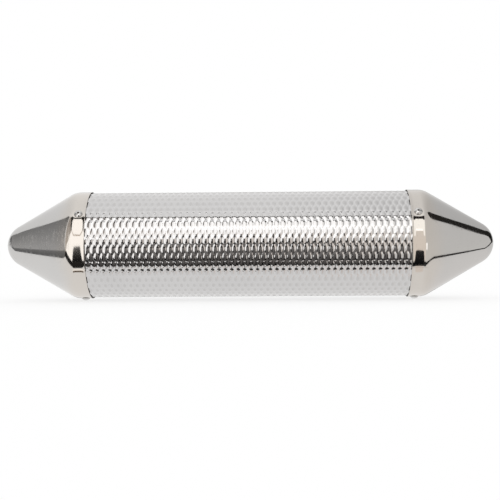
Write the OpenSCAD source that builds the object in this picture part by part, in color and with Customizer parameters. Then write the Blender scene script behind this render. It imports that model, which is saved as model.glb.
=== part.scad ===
// Guiro shaker: an embossed steel tube closed by two riveted cone caps, with loose steel shot inside.
// Origin: middle of the tube, on its axis. +X runs along the axis, -Y is the front, +Z is up.

/* [Tube] */
// Outside diameter of the tube over its embossing
tube_d = 65; // [50:0.5:80]
// Length of tube that shows between the two cap rims
playing_len = 195; // [150:1:260]
// Thickness of the tube's sheet
sheet_t = 0.5; // [0.3:0.05:0.8]
// Width of the lap seam
lap_w = 6; // [4:0.5:10]
// Angle of the lap seam, from the front up over the top
lap_angle = 217; // [190:1:240]

/* [Caps] */
// Thickness of the caps' sheet
cap_t = 0.6; // [0.4:0.05:1]
// Width of the straight band, from the rim to the corner where the cone begins
band_w = 9.7; // [8:0.1:14]
// Radius of the rounded shoulder between band and cone
shoulder_r = 7; // [1.5:0.1:9]
// Angle between the cone's side and the axis
cone_angle = 30; // [25:1:40]
// Radius of the rounded tip
tip_r = 13.7; // [8:0.1:16]
// Radial clearance between the band and the tube
slip_clear = 0.1; // [0.05:0.05:0.3]
// Length of tube cut back from the corner inside the cap
tube_end_gap = 1.4; // [1:0.1:2]

/* [Rivets] */
// Diameter of a rivet's shank
rivet_d = 2.4; // [2:0.1:3]
// Diameter of a rivet's domed head
rivet_head_d = 5; // [4.6:0.1:6.4]
// Height of a rivet's domed head
rivet_head_h = 1.2; // [0.8:0.1:1.6]
// Distance from the cap's rim to the rivets' middle
rivet_from_rim = 4.3; // [3.6:0.1:5]
// Angle of the front rivet, from the front up over the top
rivet_front_angle = 35; // [20:1:60]
// Radial clearance of the shank in its holes
rivet_clear = 0.05; // [0.03:0.01:0.15]
// Diameter of the swollen blind end
blind_d = 3.8; // [3.5:0.1:4.6]
// Length of the swollen blind end
blind_len = 3; // [2:0.1:4]
// Diameter of the mandrel that stays in a rivet
mandrel_d = 1.3; // [1:0.1:1.6]
// Diameter of the mandrel's head
mandrel_head_d = 2.2; // [1.9:0.1:2.8]
// Length of the mandrel's head
mandrel_head_len = 1.2; // [0.8:0.1:2]
// Depth of the mandrel's broken end below the top of the rivet's head
mandrel_recess = 0.5; // [0.3:0.1:0.9]

/* [Shot] */
// Diameter of a ball
ball_d = 5; // [3:0.5:6]
// Gap between balls next to each other in a row
ball_gap = 0.6; // [0.4:0.1:1.5]
// Gap between one row of balls and the next
row_gap = 0.4; // [0.3:0.1:1]
// Number of balls in each side row
side_row_count = 12; // [4:1:14]
// Gap between the balls and the inside of the lap seam
ball_clear = 0.2; // [0.15:0.05:0.5]
// Gap between the end ball of the middle row and the rivets' blind ends
row_end_gap = 4; // [1:0.5:10]

/* [Hidden] */

round_fn = 96;
small_fn = 32;

// Three rivets to a cap, evenly round it
rivets_per_cap = 3;
FRONT = 0;
BACK = 1;
BOTTOM = 2;
LEFT = -1;
RIGHT = 1;

tube_r = tube_d / 2;
tube_in_r = tube_r - sheet_t;
lap_in_r = tube_in_r - sheet_t;
lap_sweep = lap_w / tube_in_r * 180 / PI;

// Along the axis, measured from the middle of the tube
rim_x = playing_len / 2;
corner_x = rim_x + band_w;
tube_len = 2 * (corner_x - tube_end_gap);
rivet_x = rim_x + rivet_from_rim;

// The cap's outer surface: band, shoulder arc, cone and tip arc
band_r = tube_r + slip_clear + cap_t;
shoulder_x = corner_x - shoulder_r * tan(cone_angle / 2);
apex_x = corner_x + band_r / tan(cone_angle);
tip_centre_x = apex_x - tip_r / sin(cone_angle);

// A rivet's own heights, from the axis of the tube outwards
rivet_seat_r = band_r;
blind_top_r = sqrt(pow(tube_in_r, 2) - pow(blind_d / 2, 2));
blind_end_r = blind_top_r - blind_len;
rivet_top_r = rivet_seat_r + rivet_head_h;
rivet_bore_d = mandrel_d + 2 * rivet_clear;
head_dome_r = (pow(rivet_head_d / 2, 2) + pow(rivet_head_h, 2)) / (2 * rivet_head_h);

// The shot lies in rows side by side along the bottom of the tube
BOTTOM_ANGLE = -90;
ball_r = ball_d / 2;
row_r = lap_in_r - ball_clear - ball_r;
row_step = 2 * asin((ball_d + row_gap) / 2 / row_r);
ball_step = ball_d + ball_gap;
middle_row_half = rivet_x - blind_d / 2 - row_end_gap - ball_r;
middle_row_count = 2 * floor(middle_row_half / ball_step) + 1;

function rivet_angle(which) = rivet_front_angle + which * 360 / rivets_per_cap;

// Turns what stands on +Z so that it points outwards at an angle from the front, up over the top
module outwards(angle) {
    rotate([90 - angle, 0, 0]) children();
}

// Lays what runs up +Z along +X
module along_x() {
    rotate([0, 90, 0]) children();
}

module each_rivet_place(side) {
    for (which = [FRONT, BACK, BOTTOM])
        translate([side * rivet_x, 0, 0]) outwards(rivet_angle(which)) children();
}

module rivet_holes(side) {
    each_rivet_place(side)
        translate([0, 0, tube_in_r / 2])
            cylinder(d = rivet_d + 2 * rivet_clear, h = band_r, $fn = small_fn);
}

// The tube's section: a closed ring with the inner flap of the lap seam
module tube_section() {
    difference() {
        circle(r = tube_r, $fn = round_fn);
        circle(r = tube_in_r, $fn = round_fn);
    }
    intersection() {
        difference() {
            circle(r = tube_in_r + sheet_t / 2, $fn = round_fn);
            circle(r = lap_in_r, $fn = round_fn);
        }
        polygon([[0, 0],
            tube_d * [cos(lap_sweep / 2), sin(lap_sweep / 2)],
            tube_d * [cos(lap_sweep / 2), -sin(lap_sweep / 2)]]);
    }
}

module scraper_tube() {
    color([0.80, 0.80, 0.80])
    difference() {
        outwards(lap_angle)
            along_x()
                rotate([0, 0, 180])
                    linear_extrude(height = tube_len, center = true) tube_section();
        rivet_holes(LEFT);
        rivet_holes(RIGHT);
    }
}

// Half of a cap's section, drawn inwards by inset: radius across, place along the axis upwards
module cap_section(inset, start_x) {
    intersection() {
        union() {
            polygon([[0, start_x],
                [band_r - inset, start_x],
                [band_r - inset, shoulder_x],
                [band_r - shoulder_r + (shoulder_r - inset) * cos(cone_angle),
                    shoulder_x + (shoulder_r - inset) * sin(cone_angle)],
                [(tip_r - inset) * cos(cone_angle), tip_centre_x + (tip_r - inset) * sin(cone_angle)],
                [0, tip_centre_x + (tip_r - inset) * sin(cone_angle)]]);
            translate([band_r - shoulder_r, shoulder_x]) circle(r = shoulder_r - inset, $fn = round_fn);
            translate([0, tip_centre_x]) circle(r = tip_r - inset, $fn = round_fn);
        }
        translate([0, start_x]) square([2 * band_r, 2 * apex_x]);
    }
}

module cap(side) {
    color([0.80, 0.78, 0.74])
    mirror([side == LEFT ? 1 : 0, 0, 0])
    difference() {
        along_x() rotate_extrude($fn = round_fn) cap_section(0, rim_x);
        along_x() rotate_extrude($fn = round_fn) cap_section(cap_t, rim_x - 1);
        rivet_holes(RIGHT);
    }
}

// One blind rivet, hollow for its mandrel
module rivet(side, which) {
    color([0.72, 0.72, 0.72])
    translate([side * rivet_x, 0, 0]) outwards(rivet_angle(which))
    difference() {
        union() {
            intersection() {
                translate([0, 0, rivet_top_r - head_dome_r]) sphere(r = head_dome_r, $fn = small_fn);
                translate([0, 0, rivet_seat_r])
                    cylinder(d = 2 * rivet_head_d, h = 2 * rivet_head_h, $fn = small_fn);
            }
            translate([0, 0, blind_top_r - blind_len / 2])
                cylinder(d = rivet_d, h = rivet_seat_r + rivet_head_h / 2 - blind_top_r + blind_len / 2,
                    $fn = small_fn);
            translate([0, 0, blind_end_r]) cylinder(d = blind_d, h = blind_len, $fn = small_fn);
        }
        translate([0, 0, blind_end_r - 1])
            cylinder(d = rivet_bore_d, h = rivet_top_r - blind_end_r + 2, $fn = small_fn);
    }
}

// The stub of the mandrel: its shank in the rivet's bore, its head against the blind end
module mandrel(side, which) {
    color([0.35, 0.35, 0.36])
    translate([side * rivet_x, 0, 0]) outwards(rivet_angle(which)) {
        translate([0, 0, blind_end_r - mandrel_head_len / 2])
            cylinder(d = mandrel_d, h = rivet_top_r - mandrel_recess - blind_end_r + mandrel_head_len / 2,
                $fn = small_fn);
        translate([0, 0, blind_end_r - mandrel_head_len])
            cylinder(d = mandrel_head_d, h = mandrel_head_len, $fn = small_fn);
    }
}

// A row of balls along the tube; place counts the rows from the bottom towards the back
module shot_row(count, place) {
    color([0.62, 0.62, 0.64])
    for (i = [0 : count - 1])
        translate([(i - (count - 1) / 2) * ball_step, 0, 0])
            outwards(BOTTOM_ANGLE - place * row_step)
                translate([0, 0, row_r]) sphere(d = ball_d, $fn = small_fn);
}

module middle_shot_row() { shot_row(middle_row_count, 0); }
module front_shot_row() { shot_row(side_row_count, -1); }
module rear_shot_row() { shot_row(side_row_count, 1); }
module front_outer_shot_row() { shot_row(side_row_count, -2); }
module rear_outer_shot_row() { shot_row(side_row_count, 2); }

scraper_tube();
cap(LEFT);  // left_cap
cap(RIGHT);  // right_cap
rivet(LEFT, FRONT);  // left_front_rivet
rivet(LEFT, BACK);  // left_back_rivet
rivet(LEFT, BOTTOM);  // left_bottom_rivet
rivet(RIGHT, FRONT);  // right_front_rivet
rivet(RIGHT, BACK);  // right_back_rivet
rivet(RIGHT, BOTTOM);  // right_bottom_rivet
mandrel(LEFT, FRONT);  // left_front_mandrel
mandrel(LEFT, BACK);  // left_back_mandrel
mandrel(LEFT, BOTTOM);  // left_bottom_mandrel
mandrel(RIGHT, FRONT);  // right_front_mandrel
mandrel(RIGHT, BACK);  // right_back_mandrel
mandrel(RIGHT, BOTTOM);  // right_bottom_mandrel
middle_shot_row();
front_shot_row();
rear_shot_row();
front_outer_shot_row();
rear_outer_shot_row();
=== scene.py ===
# Guiro shaker: an embossed steel tube closed by two riveted cone caps, with loose steel shot inside

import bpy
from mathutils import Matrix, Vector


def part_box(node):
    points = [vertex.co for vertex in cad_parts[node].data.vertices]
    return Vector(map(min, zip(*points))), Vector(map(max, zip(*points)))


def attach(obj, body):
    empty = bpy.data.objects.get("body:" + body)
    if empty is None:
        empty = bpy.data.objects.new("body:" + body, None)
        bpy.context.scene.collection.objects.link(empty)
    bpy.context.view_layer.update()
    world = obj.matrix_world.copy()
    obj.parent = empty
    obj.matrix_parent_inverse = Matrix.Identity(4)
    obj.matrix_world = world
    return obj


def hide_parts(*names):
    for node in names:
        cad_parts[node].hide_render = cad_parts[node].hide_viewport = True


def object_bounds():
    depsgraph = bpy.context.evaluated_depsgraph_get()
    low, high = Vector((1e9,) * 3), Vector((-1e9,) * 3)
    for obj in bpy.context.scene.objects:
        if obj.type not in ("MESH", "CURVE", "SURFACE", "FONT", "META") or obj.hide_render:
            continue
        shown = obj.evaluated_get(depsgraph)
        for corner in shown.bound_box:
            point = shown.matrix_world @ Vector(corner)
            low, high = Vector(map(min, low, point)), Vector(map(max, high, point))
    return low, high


bl_info = {
    "name": "Guiro shaker",
    "version": (1, 0, 0),
    "blender": (4, 5, 0),
    "location": "3D View > Sidebar > Shaker",
    "description": "Builds an embossed steel guiro shaker with riveted cone caps and loose shot",
    "category": "Object",
}

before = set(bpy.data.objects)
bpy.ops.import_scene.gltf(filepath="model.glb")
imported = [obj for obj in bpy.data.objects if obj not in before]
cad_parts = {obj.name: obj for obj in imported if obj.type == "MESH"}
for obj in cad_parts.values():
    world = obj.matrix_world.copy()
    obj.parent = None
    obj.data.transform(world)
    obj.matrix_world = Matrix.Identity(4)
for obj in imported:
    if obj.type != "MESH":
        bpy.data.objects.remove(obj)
CAD_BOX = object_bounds()

import math

import bmesh
import bpy
from bpy.props import FloatProperty, FloatVectorProperty, IntProperty, PointerProperty
from bpy.types import Operator, Panel, PropertyGroup
from mathutils import Vector, geometry, noise

MM = 0.001
QUARTER_TURN = math.pi / 2

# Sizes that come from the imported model
TUBE_LOW, TUBE_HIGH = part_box("scraper_tube")
CAP_LOW, CAP_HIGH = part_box("right_cap")

SIDES = {"left": -1, "right": 1}
RIVET_PLACES = {"front": 35.0, "back": 155.0, "bottom": 275.0}
SHOT_ROWS = ("middle_shot_row", "front_shot_row", "rear_shot_row",
             "front_outer_shot_row", "rear_outer_shot_row")
SHELL = "shell"

# Mesh steps of the embossed sheet: 8 x 6 faces to each grain, and 3 hidden ones at each end
COLUMN_STEPS = 8
ROW_STEPS = 6
HIDDEN_STEPS = 3

# Faces round each turned piece
CAP_SEGMENTS = 192
RIVET_SEGMENTS = 64
MANDREL_SEGMENTS = 32

# A grain's dome: how flat its crest is, and how softly it runs out into the sheet
GRAIN_FLATNESS = 1.2
GRAIN_RUN_OUT = 0.12

# The lap seam and its spot welds: where each effect is full, and where it has run out
FLAP_EDGE_TURN = 0.004
DROP_REACH = (0.2 * MM, 4.2 * MM)
FLAP_PRESSED = (0.3 * MM, 3.4 * MM)
SHEET_PRESSED = (0.3 * MM, 4.0 * MM)
WELD_INSET = 3.3 * MM
WELD_REACH = (0.9 * MM, 2.0 * MM)
HEAT_REACH = (1.2 * MM, 3.6 * MM)
WELD_DEPTH = 0.10 * MM
SEAM_ZONE = 6.0 * MM
SHARP_FOLD = math.radians(62.0)
MERGE_DISTANCE = 0.004 * MM


# Sizes, colours and studio light that a user can change

def length_property(name, description, default):
    return FloatProperty(
        name=name, description=description, default=default, unit="LENGTH", precision=5)


def share_property(name, description, default, most=1.0):
    return FloatProperty(
        name=name, description=description, default=default, min=0.0, max=most, subtype="FACTOR")


def shift_property(name, description, default):
    return FloatProperty(name=name, description=description, default=default, min=-1.0, max=1.0)


def angle_property(name, description, degrees):
    return FloatProperty(
        name=name, description=description, default=math.radians(degrees), subtype="ANGLE")


def colour_property(name, description, default):
    return FloatVectorProperty(
        name=name, description=description, default=default, subtype="COLOR", min=0.0, max=1.0)


# The names of the tube's sizes are also the names of its Geometry Nodes inputs
class TubeSizes(PropertyGroup):
    columns: IntProperty(
        name="Columns", description="Number of grain columns along the tube", default=51, min=8, max=51)
    rows: IntProperty(
        name="Rows", description="Number of grain rows round the tube, an even number",
        default=40, min=8, max=40, step=2)
    pitch: length_property("Column pitch", "Distance from one column of grains to the next", 3.85 * MM)
    phase: shift_property("Column phase", "Shift of the columns along the tube, in pitches", 0.5)
    row_phase: shift_property("Row phase", "Shift of the rows round the tube, in row pitches", 0.12)
    crest_radius: length_property(
        "Crest radius", "Radius of the tube over the crests of the grains", TUBE_HIGH.z)
    relief: length_property(
        "Relief", "Height of a grain above the sheet between the grains", 0.24 * MM)
    grain_width: length_property("Grain width", "Width of a grain along the tube", 3.2 * MM)
    grain_length: length_property("Grain length", "Length of a grain round the tube", 6.2 * MM)
    unevenness: share_property(
        "Unevenness", "Share by which the height of the grains varies", 0.10, most=0.5)
    inner_radius: length_property("Inner radius", "Radius of the inside of the tube", 31.5 * MM)
    length: length_property(
        "Tube length", "Length of the tube with the ends that the caps cover", TUBE_HIGH.x - TUBE_LOW.x)
    seam_angle: angle_property(
        "Seam angle", "Angle of the lap seam from the front up over the top", 217.0)
    seam_drop: length_property("Seam drop", "Depth of the step at the lap seam", 0.34 * MM)
    weld_spacing: length_property(
        "Weld spacing", "Distance between the spot welds of the lap seam", 21.5 * MM)
    seed: IntProperty(name="Seed", description="Seed of the grains' small differences", default=7)


class CapSizes(PropertyGroup):
    rim_place: length_property(
        "Rim place", "Distance of the cap's rim from the middle of the tube", CAP_LOW.x)
    tip_place: length_property(
        "Tip place", "Distance of the cap's tip from the middle of the tube", CAP_HIGH.x)
    band_radius: length_property("Rim radius", "Outside radius of the cap's rim", CAP_HIGH.z)
    sheet: length_property("Sheet", "Thickness of the cap's sheet", 0.6 * MM)
    cone_angle: angle_property("Cone angle", "Angle between the cone's side and the axis", 30.0)
    left_shoulder: length_property(
        "Left shoulder", "Radius of the left cap's shoulder between band and cone", 12.5 * MM)
    right_shoulder: length_property(
        "Right shoulder", "Radius of the right cap's shoulder between band and cone", 12.5 * MM)
    tip_radius: length_property("Tip radius", "Radius of the rounded tip", 13.7 * MM)
    rim_flare: length_property("Rim flare", "How far the rim flares out from the band", 0.15 * MM)
    rim_width: length_property("Rim width", "Width of the part of the band that flares", 2.4 * MM)
    dent: length_property("Dent", "Depth to which each rivet pulls the band in", 0.10 * MM)
    wobble: length_property("Wobble", "Depth of the hand-spun waviness of the sheet", 0.035 * MM)


class RivetSizes(PropertyGroup):
    place: length_property(
        "Rivet place", "Distance of the rivets from the middle of the tube", 101.8 * MM)
    seat_radius: length_property(
        "Seat radius", "Distance of a rivet head's underside from the axis", 33.2 * MM)
    head_width: length_property("Head width", "Diameter of a rivet's domed head", 5.0 * MM)
    head_height: length_property("Head height", "Height of a rivet's domed head", 1.2 * MM)
    shank_width: length_property("Shank width", "Diameter of a rivet's shank", 2.4 * MM)
    bore: length_property("Bore", "Diameter of the bore that holds the mandrel", 1.4 * MM)
    blind_width: length_property("Blind width", "Diameter of the swollen blind end", 3.8 * MM)
    blind_top: length_property(
        "Blind top", "Depth of the blind end's shoulder below the seat", 1.26 * MM)
    blind_length: length_property("Blind length", "Length of the swollen blind end", 3.0 * MM)
    mandrel_width: length_property(
        "Mandrel width", "Diameter of the mandrel that stays in a rivet", 1.3 * MM)
    mandrel_recess: length_property(
        "Mandrel recess", "Depth of the mandrel's broken end below the head's top", 0.5 * MM)
    mandrel_head_width: length_property(
        "Mandrel head width", "Diameter of the mandrel's head", 2.2 * MM)
    mandrel_head_length: length_property(
        "Mandrel head length", "Length of the mandrel's head", 1.2 * MM)


class Finishes(PropertyGroup):
    sheet: colour_property("Sheet", "Colour of the embossed steel sheet", (0.650, 0.645, 0.645))
    # This colour paints the dirt between the grains and also the painted shade between them and on
    # their crests
    grime_and_shade: colour_property("Grime", "Colour of the dirt between the grains", (0.30, 0.285, 0.27))
    heat: colour_property("Heat tint", "Colour of the steel round the spot welds", (0.50, 0.36, 0.20))
    nickel: colour_property("Nickel", "Colour of the caps' cones", (0.640, 0.632, 0.622))
    warm_nickel: colour_property("Warm nickel", "Colour of the caps' bands", (0.672, 0.636, 0.594))
    # Painted shade with some dirt: this dark colour shades the gap under the caps' rims
    inner: colour_property("Inner dirt and shade", "Colour of the caps' bare inner wall", (0.075, 0.07, 0.065))
    rivet: colour_property("Rivet", "Colour of the rivets", (0.66, 0.655, 0.645))
    mandrel: colour_property("Mandrel", "Colour of the broken mandrels", (0.19, 0.185, 0.18))
    shot: colour_property("Shot", "Colour of the steel shot", (0.56, 0.56, 0.57))
    sheet_roughness: share_property(
        "Sheet roughness", "Roughness of the clean embossed sheet", 0.06)
    cap_roughness: share_property("Cap roughness", "Roughness of the polished caps", 0.03)


class Studio(PropertyGroup):
    distance: length_property("Camera distance", "Distance of the camera from the tube's axis", 0.68)
    lens: FloatProperty(
        name="Lens", description="Focal length of the camera", default=78.57, unit="CAMERA")
    roll: angle_property("Roll", "Turn of the camera about its view", 0.41)
    turn: angle_property("Turn", "Turn of the camera round the object, to its right end", 1.65)
    dome: length_property("Dome", "Radius of the light tent and its cards", 0.86)
    floor: length_property("Floor", "Width of the pale floor", 60.0)
    shadow_fade: share_property(
        "Shadow fade", "Share by which the object's shadow is lightened", 0.72)
    world: share_property("World", "Strength of the white world outside the tent", 1.0, most=2.0)


def group_values(sizes):
    """A group's values under the names that a user sees."""
    properties = sizes.bl_rna.properties
    return {properties[key].name: getattr(sizes, key) for key in sizes.__annotations__}


# Node trees: a number in a tree, on which arithmetic adds Math nodes

class Field:
    def __init__(self, tree, socket):
        self.tree = tree
        self.socket = socket

    def math(self, operation, *others):
        node = self.tree.nodes.new("ShaderNodeMath")
        node.operation = operation
        for place, value in enumerate((self, *others)):
            feed(self.tree, node.inputs[place], value)
        return Field(self.tree, node.outputs[0])

    def __add__(self, other):
        return self.math("ADD", other)

    def __sub__(self, other):
        return self.math("SUBTRACT", other)

    def __rsub__(self, other):
        return self.math("MULTIPLY", -1.0).math("ADD", other)

    def __mul__(self, other):
        return self.math("MULTIPLY", other)

    def __truediv__(self, other):
        return self.math("DIVIDE", other)

    def __pow__(self, other):
        return self.math("POWER", other)

    def __gt__(self, other):
        return self.math("GREATER_THAN", other)

    def __lt__(self, other):
        return self.math("LESS_THAN", other)

    def __abs__(self):
        return self.math("ABSOLUTE")

    def floor(self):
        return self.math("FLOOR")

    __radd__, __rmul__ = __add__, __mul__

    def span(self, low, high, to_low=0.0, to_high=1.0, smooth=True):
        """Maps low..high to to_low..to_high, held at both ends."""
        node = self.tree.nodes.new("ShaderNodeMapRange")
        node.interpolation_type = "SMOOTHSTEP" if smooth else "LINEAR"
        for place, value in enumerate((self, low, high, to_low, to_high)):
            feed(self.tree, node.inputs[place], value)
        return Field(self.tree, node.outputs[0])


def feed(tree, socket, value):
    """Links a Field or a socket to an input, or sets the input to a plain value."""
    if isinstance(value, Field):
        tree.links.new(value.socket, socket)
    elif isinstance(value, bpy.types.NodeSocket):
        tree.links.new(value, socket)
    else:
        socket.default_value = value


def add_node(tree, kind, inputs=None, **settings):
    """Adds a node, sets its settings and feeds its inputs, which are named by name or place."""
    node = tree.nodes.new(kind)
    for name, value in settings.items():
        setattr(node, name, value)
    for name, value in (inputs or {}).items():
        feed(tree, node.inputs[name], value)
    return node


def open_tree(name, kind, inputs, outputs, output_type="NodeSocketFloat"):
    """Makes a node group; returns it, its inputs by name as Fields, and its output node. Each input
    comes with its default, a float or a whole number, or else with its socket's type."""
    tree = bpy.data.node_groups.new(name, kind)
    number_types = {float: "NodeSocketFloat", int: "NodeSocketInt"}
    for label, given in inputs.items():
        number_type = number_types.get(type(given))
        socket = tree.interface.new_socket(label, in_out="INPUT", socket_type=number_type or given)
        if number_type:
            socket.default_value = given
    for label in outputs:
        tree.interface.new_socket(label, in_out="OUTPUT", socket_type=output_type)
    entry = tree.nodes.new("NodeGroupInput")
    return (tree, {label: Field(tree, entry.outputs[label]) for label in inputs},
            tree.nodes.new("NodeGroupOutput"))


def combine(tree, x, y, z):
    return add_node(tree, "ShaderNodeCombineXYZ", {0: x, 1: y, 2: z}).outputs[0]


def split_vector(tree, vector):
    """The three numbers of a vector, as Fields."""
    split = add_node(tree, "ShaderNodeSeparateXYZ", {0: vector})
    return tuple(Field(tree, output) for output in split.outputs)


def dice(tree, x, y, z):
    """Chance numbers that stay the same for the same three numbers."""
    return add_node(tree, "ShaderNodeTexWhiteNoise", {"Vector": combine(tree, x, y, z)},
                    noise_dimensions="3D")


def close_mesh_tree(tree, leave, mesh, finish):
    """Ends a tree with real geometry and its material."""
    mesh = add_node(tree, "GeometryNodeRealizeInstances", {0: mesh}).outputs[0]
    mesh = add_node(tree, "GeometryNodeSetMaterial", {"Geometry": mesh, "Material": finish}).outputs[0]
    feed(tree, leave.inputs["Mesh"], mesh)
    return tree


# The embossed sheet as a Geometry Nodes tree

def grain_height_tree(rows, seed, unevenness):
    """Height of the embossing, from 0 on the flat sheet to 1 on a crest, at a place on the sheet."""
    tree, given, leave = open_tree(
        "grain_height", "GeometryNodeTree",
        {"Along": 0.0, "Around": 0.0, "Rows": rows, "Column phase": 0.0, "Width share": 1.0,
         "Length share": 1.0, "Unevenness": unevenness, "Seed": seed}, ("Height",))
    row = given["Around"].floor()
    off_centre = given["Around"] - row - 0.5

    def grain(this_row, distance):
        odd = this_row.math("FLOORED_MODULO", 2.0)
        shifted = given["Along"] + given["Column phase"] - odd * 0.5
        cell = shifted.floor()
        lots = dice(tree, cell, this_row.math("FLOORED_MODULO", given["Rows"]), given["Seed"])
        chance, sideways, _ = split_vector(tree, lots.outputs["Color"])
        nudge = (sideways - 0.5) * given["Unevenness"] * 0.25
        across = abs(shifted - cell - 0.5 + nudge) / (given["Width share"] * 0.5)
        lengthwise = abs(distance) / (given["Length share"] * 0.5)
        oval = across ** 2.0 + lengthwise ** 2.0
        dome = (1.0 - oval ** GRAIN_FLATNESS).math("SMOOTH_MAX", 0.0, GRAIN_RUN_OUT)
        return dome * (1.0 - given["Unevenness"] * chance)

    next_row = row + off_centre.math("SIGN")
    height = grain(row, off_centre).math(
        "SMOOTH_MAX", grain(next_row, 1.0 - abs(off_centre)), GRAIN_RUN_OUT)
    feed(tree, leave.inputs["Height"], height)
    return tree


def embossed_tube_tree(values):
    tree, given, leave = open_tree(
        "embossed_tube", "GeometryNodeTree", {**values, "Finish": "NodeSocketMaterial"}, ("Mesh",),
        "NodeSocketGeometry")
    columns, rows = given["Columns"], given["Rows"]
    pitch, crest, relief_height = given["Column pitch"], given["Crest radius"], given["Relief"]
    round_length = crest * math.tau
    row_pitch = round_length / rows

    # Steps along the tube: embossed between the two ends, then the plain ends, then the inside
    embossed_steps = columns * float(COLUMN_STEPS)
    grid = add_node(tree, "GeometryNodeMeshGrid", {
        "Size X": 1.0, "Size Y": 1.0,
        "Vertices X": embossed_steps + float(2 * HIDDEN_STEPS + 1),
        "Vertices Y": rows * float(ROW_STEPS) + 1.0})
    place = add_node(tree, "GeometryNodeInputPosition")
    grid_x, grid_y, _ = split_vector(tree, place.outputs[0])
    along, around = grid_x + 0.5, grid_y + 0.5
    step = along * (embossed_steps + float(2 * HIDDEN_STEPS)) - float(HIDDEN_STEPS)
    beyond = (step * -1.0).math("MAXIMUM", step - embossed_steps)
    side = (step - embossed_steps * 0.5).math("SIGN")
    hidden, inner, middle = beyond > 0.5, beyond > 1.5, beyond > 2.5
    u = (step / float(COLUMN_STEPS)).math("MAXIMUM", 0.0).math("MINIMUM", columns)
    x_embossed = (u - columns * 0.5) * pitch
    x_end = side * given["Tube length"] * 0.5
    x = (x_embossed * (1.0 - hidden) + x_end * hidden) * (1.0 - middle)

    # The grains' height here and a hair to either side, which gives the slopes
    v = around * rows
    hair = 0.01
    height_group = grain_height_tree(values["Rows"], values["Seed"], values["Unevenness"])

    def height_at(u_place, v_place):
        node = add_node(tree, "GeometryNodeGroup", node_tree=height_group)
        for label, value in (("Along", u_place), ("Around", v_place + given["Row phase"]),
                             ("Rows", rows), ("Column phase", given["Column phase"]),
                             ("Width share", given["Grain width"] / pitch),
                             ("Length share", given["Grain length"] / row_pitch),
                             ("Unevenness", given["Unevenness"]), ("Seed", given["Seed"])):
            feed(tree, node.inputs[label], value)
        return Field(tree, node.outputs["Height"])

    height = height_at(u, v)
    slope_along = (height_at(u + hair, v) - height_at(u - hair, v)) / (pitch * (2 * hair))
    slope_round = (height_at(u, v + hair) - height_at(u, v - hair)) / (row_pitch * (2 * hair))

    # The lap seam: the outer flap's edge, the step down beside it and the spot welds
    from_edge = around * round_length
    to_edge = round_length - from_edge
    last_step = 1.0 / ROW_STEPS
    wall = (v > rows - 1.5 * last_step) * (v < rows - 0.5 * last_step)
    before_wall = v < rows - 0.5 * last_step
    turn = around * math.tau * (1.0 - wall) + (math.tau - FLAP_EDGE_TURN) * wall
    drop = before_wall * given["Seam drop"] * to_edge.span(*DROP_REACH, 1.0, 0.0)
    pressed = from_edge.span(*FLAP_PRESSED, 0.3, 1.0) * to_edge.span(*SHEET_PRESSED, 0.3, 1.0)
    spot = x_embossed / given["Weld spacing"]
    spot_x = (spot - spot.math("ROUND")) * given["Weld spacing"]
    spot_y = from_edge - WELD_INSET
    spot_distance = (spot_x * spot_x + spot_y * spot_y).math("SQRT")
    weld = spot_distance.span(*WELD_REACH, 1.0, 0.0)
    heat = spot_distance.span(*HEAT_REACH, 1.0, 0.0)
    depth_here = pressed * (1.0 - weld * 0.9)
    relief = height * depth_here

    base = crest - relief_height
    outer_radius = base + relief_height * relief * (1.0 - hidden) - drop - weld * WELD_DEPTH
    radius = outer_radius * (1.0 - inner) + given["Inner radius"] * inner
    angle = given["Seam angle"] + turn
    outward_y, outward_z = angle.math("COSINE") * -1.0, angle.math("SINE")
    place_on_tube = combine(tree, x, radius * outward_y, radius * outward_z)

    # The sheet's own normal, away from the seam and the hidden ends
    open_sheet = (from_edge > SEAM_ZONE) * (to_edge > SEAM_ZONE) * (1.0 - hidden)
    tilt_along = slope_along * relief_height * depth_here
    tilt_round = slope_round * relief_height * depth_here
    sheet_normal = combine(
        tree, tilt_along * -1.0 * open_sheet,
        (outward_y - tilt_round * outward_z) * open_sheet,
        (outward_z + tilt_round * outward_y) * open_sheet)

    mesh = grid.outputs["Mesh"]
    for name, value, kind in (("relief", relief * (1.0 - hidden), "FLOAT"),
                              ("heat", heat * (1.0 - hidden), "FLOAT"),
                              ("sheet_normal", sheet_normal, "FLOAT_VECTOR")):
        mesh = add_node(tree, "GeometryNodeStoreNamedAttribute", {
            "Geometry": mesh, "Name": name, "Value": value},
            data_type=kind, domain="POINT").outputs[0]
    fold = Field(tree, add_node(tree, "GeometryNodeInputMeshEdgeAngle").outputs[0])
    for kind, inputs, settings in (
            ("GeometryNodeSetPosition", {"Position": place_on_tube}, {}),
            ("GeometryNodeMergeByDistance", {"Distance": MERGE_DISTANCE}, {}),
            ("GeometryNodeSetShadeSmooth", {"Shade Smooth": True}, {"domain": "FACE"}),
            ("GeometryNodeSetShadeSmooth", {"Selection": fold > SHARP_FOLD, "Shade Smooth": False},
             {"domain": "EDGE"})):
        mesh = add_node(tree, kind, {"Geometry": mesh, **inputs}, **settings).outputs[0]
    return close_mesh_tree(tree, leave, mesh, given["Finish"])


def use_sheet_normals(piece):
    """Shades the sheet by its exact slopes; where none are stored, the mesh's own normals stay."""
    data = piece.data
    normals = [0.0] * (3 * len(data.vertices))
    data.attributes["sheet_normal"].data.foreach_get("vector", normals)
    data.normals_split_custom_set_from_vertices(
        [Vector(normals[i:i + 3]).normalized() for i in range(0, len(normals), 3)])
    data.attributes.remove(data.attributes["sheet_normal"])


# Rivets and mandrels set evenly round a cap, each turned a little by chance

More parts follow.
